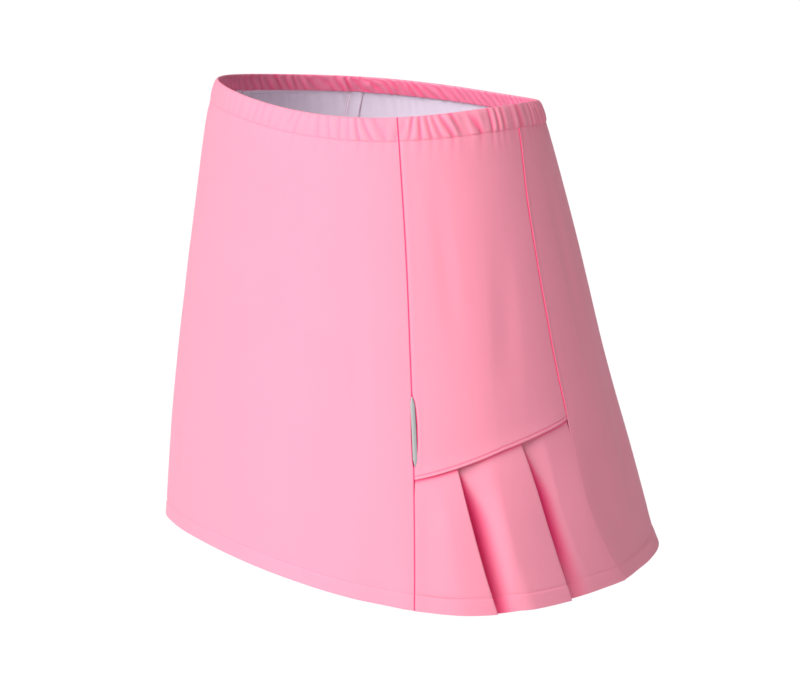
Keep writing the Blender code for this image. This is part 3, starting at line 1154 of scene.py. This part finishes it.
def allowance_rule(seam, right_side):
    """The rule that lays an allowance behind a seam."""

    def rule(column, row):
        level = mix(ALLOWANCE_TOP, ALLOWANCE_END, row)
        below_edge = (level - side_edge(seam)) * LENGTH
        entry = ease((below_edge + TUCK + TUCK_REACH) / TUCK_SLOPES[0])
        dip = TUCK_DIP * entry * ease((TUCK_RISE + TUCK_REACH - below_edge) / TUCK_SLOPES[1])
        dip += HEM_DIP * ease((level - HEM_LEVEL) * LENGTH / HEM_SLOPE + HEM_SLOPE) + EDGE_CURL * column**2
        lift = -ALLOWANCE_DEPTH - dip - waist_dip(level)
        return on_side(right_side, seam, level, lift, ALLOWANCE * column), 0

    return rule


for side in SIDES:
    for part, seam in (("front", 0), ("back", 1)):
        lay(f"allowance_{part}_{side}", [2 * share - 1 for share in shares(12)], shares(ALLOWANCE_ROWS),
            allowance_rule(seam, side == "right"), flip=side == "right", wall=ALLOWANCE_WALL,
            cloths=(seam_shade, pale_reverse))

# %% [markdown]
# ## Stitches
# A stitch is a short thread that dips into the cloth at both ends, so a stretched ball of twenty
# faces is enough. A line of them is walked along the surface at an even pitch. On an overlocked edge
# they are turned to and fro. All the stitches of a kind are one mesh.


# %% Sewing helpers
# Pitch, length and thickness of the stitches of each kind, and how far they turn to and fro in degrees
SEWING = {
    "hem_stitches": (2.6, 2.1, 0.42, 0),
    "waist_stitches": (2.4, 1.9, 0.42, 0),
    "edge_stitches": (2.3, 1.8, 0.36, 0),
    "allowance_overlock": (2.2, 2.4, 0.34, 52),
    "casing_overlock": (2.1, 1.9, 0.36, 50),
}
OVAL = 1.4


def outward(place):
    """The direction out of the skirt at a place."""
    return Vector((place.x, OVAL * place.y, 0)).normalized()


def sunk(place, depth):
    """A place moved into the skirt."""
    return place - depth * outward(place)


def walk(line, pitch):
    """Places at an even pitch along a line of points, each with the line's direction there."""
    made, left = [], pitch / 2
    for start, end in zip(line, line[1:]):
        step = (end - start).length
        while left < step:
            made.append((start.lerp(end, left / step), (end - start).normalized()))
            left += pitch
        left -= step
    return made


def sew(lines, pitch, length, thickness, sway):
    """Stitches along lines, each as a matrix in millimetres. A thread lies a little flat."""
    made = []
    for line in lines:
        for number, (place, along) in enumerate(walk(line, pitch)):
            out = outward(place)
            along = Matrix.Rotation(radians(sway) * (-1) ** number, 3, out) @ along
            turn = Matrix((along, out.cross(along), out)).transposed().to_4x4()
            size = Matrix.Diagonal((length / 2, thickness / 2, thickness / 2.2, 1))
            made.append(Matrix.Translation(place) @ turn @ size)
    return made


def thread_mesh(name, lines, finish):
    """All the stitches of a kind, along their lines, as one piece."""
    shape = bmesh.new()
    stitches = sew(lines, *SEWING[name])
    for stitch in stitches:
        bmesh.ops.create_icosphere(shape, subdivisions=1, radius=1, matrix=stitch)
    bmesh.ops.scale(shape, vec=(METRE, METRE, METRE), verts=shape.verts)
    for face in shape.faces:
        face.smooth = True
    dress(piece_of(name, shape, [finish]))
    print(f"{name}: {len(stitches)} stitches")


# %% Rows of stitches
PANEL_GAP = 0.006
SIDE_GAP = 0.01
STRIP_STITCH_STEPS = 40


def around(rule):
    """The line of the hem stitches across a full panel."""
    return [rule((share, 0), (HEM_LEVEL, 0))[0] for share in shares(120, PANEL_GAP)]


def insert_hem_lines(right_side):
    """The lines of the hem stitches across the strips of an insert that show."""
    rule = insert_rule(right_side)
    lines = []
    for number in range(len(PLEATS) + 1):
        line = []
        for share in shares(STRIP_STITCH_STEPS)[1:-1]:
            column = ("strip", number, share, 0, 0)
            top = column_top(column)[1]
            line.append(rule(column, (HEM_LEVEL - top) / (1 - top))[0])
        lines.append(line)
    return lines


def side_edge_line(right_side):
    """The line of the stitches along a side panel's lower edge."""
    rule = side_panel_rule(right_side)
    line = []
    for share in shares(80, SIDE_GAP):
        reach = side_edge(share) - SIDE_ROLL / LENGTH - PANEL_TOP
        down = 1 - (SIDE_STITCH - SIDE_ROLL) / LENGTH / reach
        line.append(rule((share, 0), (down, 0))[0])
    return line


def waist_line(height, depth):
    """A line round the whole waist at a height over the stitch line."""
    level = (CASING_HEIGHT - height) / LENGTH
    dips = {angle: depth + 0.5 * PUCKER_DEPTH * (1 - gather(angle)) for angle in range(-180, 181)}
    return [cloth(angle, level, -dip) for angle, dip in dips.items()]


hem_lines = [around(rule) for _, rule in PANELS.values()]
for right_side in (False, True):
    hem_lines += insert_hem_lines(right_side)
thread_mesh("hem_stitches", hem_lines, pink_thread)
thread_mesh("waist_stitches", [waist_line(height=0.1, depth=0.25)], pink_thread)
thread_mesh("edge_stitches", [side_edge_line(False), side_edge_line(True)], pink_thread)

# %% Overlocked edges
# Place of the overlock across an allowance and along the casing's section, and its depth from the cloth
ALLOWANCE_EDGE = 0.85
ALLOWANCE_SUNK = 0.55
CASING_EDGE = 0.965
CASING_SUNK = 0.1


def allowance_line(seam, right_side, column):
    """A line down an allowance, on its inner face."""
    rule = allowance_rule(seam, right_side)
    return [sunk(rule(column, share)[0], ALLOWANCE_SUNK) for share in shares(ALLOWANCE_ROWS)]


def casing_line(start, end):
    """A line along a casing's free edge."""
    rule = casing_rule(start, end)
    return [sunk(rule((share, 0), CASING_EDGE)[0], CASING_SUNK) for share in shares(200)]


overlocked = [
    allowance_line(seam, right_side, ALLOWANCE_EDGE * edge)
    for seam in (0, 1)
    for right_side in (False, True)
    for edge in (-1, 1)
]
thread_mesh("allowance_overlock", overlocked, pale_thread)
thread_mesh("casing_overlock", [casing_line(*ends) for ends in casing_ends.values()], pink_thread)

# %% [markdown]
# ## Light and camera
# The photograph has a plain white ground, and soft light from the left of the picture. A broad sun
# from the front gives that, a second one overhead lights the floor and the inside, and a weak
# surrounding light fills the shade. The camera stands where the photograph's did.

# %% Studio
FLOOR_DROP = 1.05
FLOOR_RADIUS = 60
FLOOR_GREY = 0.92
ROOM_STRENGTH = 0.1
ROOM_COLOUR = (0.97, 0.98, 1, 1)
# Lamps: strength, direction it comes from, spread in degrees
LAMPS = {
    "key": (4, (0.29, -0.8, 0.53), 46),
    "top": (1.15, (0, 0, 1), 80),
}

floor_shape = bmesh.new()
bmesh.ops.create_circle(floor_shape, cap_ends=True, segments=64, radius=FLOOR_RADIUS)
bmesh.ops.translate(floor_shape, verts=floor_shape.verts, vec=(0, 0, -FLOOR_DROP))
pale_floor = shader_of("pale_floor", Base_Color=(*[FLOOR_GREY] * 3, 1), Roughness=1)[0]
piece_of("floor", floor_shape, [pale_floor])

room = bpy.data.worlds.new("soft_room")
room.use_nodes = True
background = room.node_tree.nodes["Background"]
background.inputs["Color"].default_value = ROOM_COLOUR
background.inputs["Strength"].default_value = ROOM_STRENGTH
bpy.context.scene.world = room

for name, (strength, source, spread) in LAMPS.items():
    light = bpy.data.lights.new(name, "SUN")
    light.energy = strength
    light.angle = radians(spread)
    lamp = bpy.data.objects.new(name, light)
    lamp.rotation_euler = Vector(source).to_track_quat("Z", "Y").to_euler()
    bpy.context.scene.collection.objects.link(lamp)

# %% Camera
PHOTO_WIDTH, PHOTO_HEIGHT = 800, 690
FOCUS = 3283
AIM_X, AIM_Y = 375, 324
CAMERA_TURN, CAMERA_RISE = 61.8, 11.1
CAMERA_DISTANCE = 2.414
AIM = Vector((0, 0, -0.17))

turn, rise = radians(CAMERA_TURN), radians(CAMERA_RISE)
back = Vector((sin(turn) * cos(rise), -cos(turn) * cos(rise), sin(rise)))
right = Vector((cos(turn), sin(turn), 0))
lens = bpy.data.cameras.new("camera")
lens.sensor_fit = "HORIZONTAL"
lens.lens = FOCUS * lens.sensor_width / PHOTO_WIDTH
lens.shift_x = (PHOTO_WIDTH / 2 - AIM_X) / PHOTO_WIDTH
lens.shift_y = (AIM_Y - PHOTO_HEIGHT / 2) / PHOTO_WIDTH
camera = bpy.data.objects.new("camera", lens)
axes = Matrix((right, back.cross(right), back)).transposed().to_4x4()
camera.matrix_world = Matrix.Translation(AIM + CAMERA_DISTANCE * back) @ axes
bpy.context.scene.collection.objects.link(camera)
bpy.context.scene.camera = camera
bpy.context.scene.view_settings.view_transform = "Standard"
